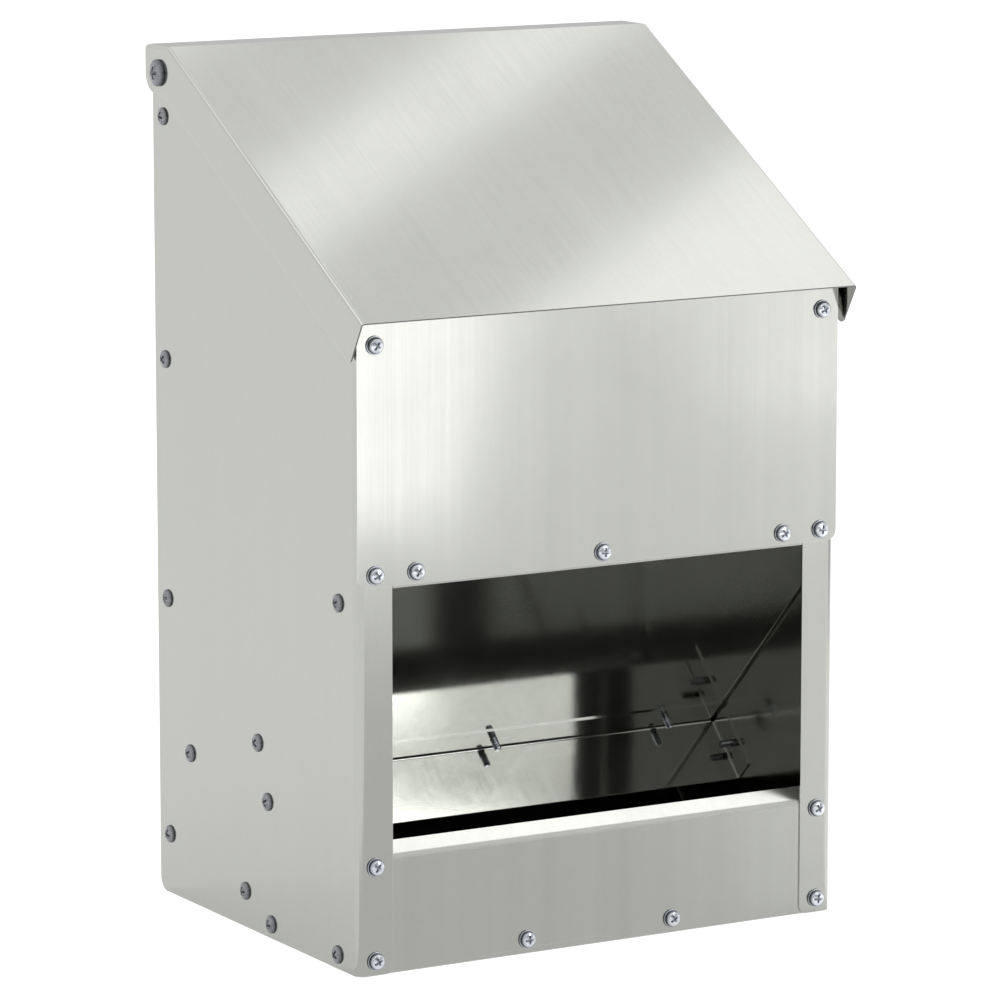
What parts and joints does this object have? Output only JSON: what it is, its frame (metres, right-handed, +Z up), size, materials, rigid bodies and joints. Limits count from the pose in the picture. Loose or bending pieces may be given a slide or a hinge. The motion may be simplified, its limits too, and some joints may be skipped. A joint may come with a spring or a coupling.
{
  "type": "poultry feeder",
  "caption": "Galvanised sheet-steel poultry feeder: upright hopper with a sloping hinged lid, inner baffle and ramp, and a lipped feed trough at the front.",
  "frame": {"origin": "centre of the bounding box's base, on the surface that the feeder stands on", "axes": "+Z up, the feeding mouth faces -Y, +X to the right of someone facing the mouth; the lid hinges about an axis along X at the top rear"},
  "size_m": [0.2846, 0.2222, 0.4306],
  "materials": {
    "galvanised_sheet": "bright galvanised, soft sheen",
    "hopper_sheet": "bright galvanised, fine spangle",
    "zinc_screws": "bright zinc plated",
    "side_screws": "grey zinc plated",
    "pivot_fittings": "zinc plated"
  },
  "bodies": {
    "body": {"left_side_panel": "galvanised_sheet", "right_side_panel": "galvanised_sheet", "back_panel": "galvanised_sheet", "upper_front_panel": "galvanised_sheet", "lower_front_panel": "galvanised_sheet", "feed_pan": "hopper_sheet", "hopper_baffle": "hopper_sheet", "feed_flap": "hopper_sheet", "left_pivot_screw": "side_screws", "right_pivot_screw": "side_screws", "left_pivot_spacer": "pivot_fittings", "right_pivot_spacer": "pivot_fittings", "left_pivot_nut": "pivot_fittings", "right_pivot_nut": "pivot_fittings", "upper_panel_screws": "zinc_screws", "baffle_top_screws": "zinc_screws", "lower_panel_screws": "zinc_screws", "pan_front_screws": "zinc_screws", "left_back_panel_screws": "side_screws", "left_baffle_screws": "side_screws", "left_flap_screw": "side_screws", "left_ramp_screws": "side_screws", "left_floor_screws": "side_screws", "right_back_panel_screws": "side_screws", "right_baffle_screws": "side_screws", "right_flap_screw": "side_screws", "right_ramp_screws": "side_screws", "right_floor_screws": "side_screws", "flap_seam_screws": "zinc_screws"},
    "lid": {"lid": "galvanised_sheet"}
  },
  "joints": [
    {"name": "lid_hinge", "type": "hinge", "parent": "body", "child": "lid", "pos_m": [0, 0.09665, 0.4171], "axis": [-1, 0, 0], "range_deg": [0, 75]}
  ]
}
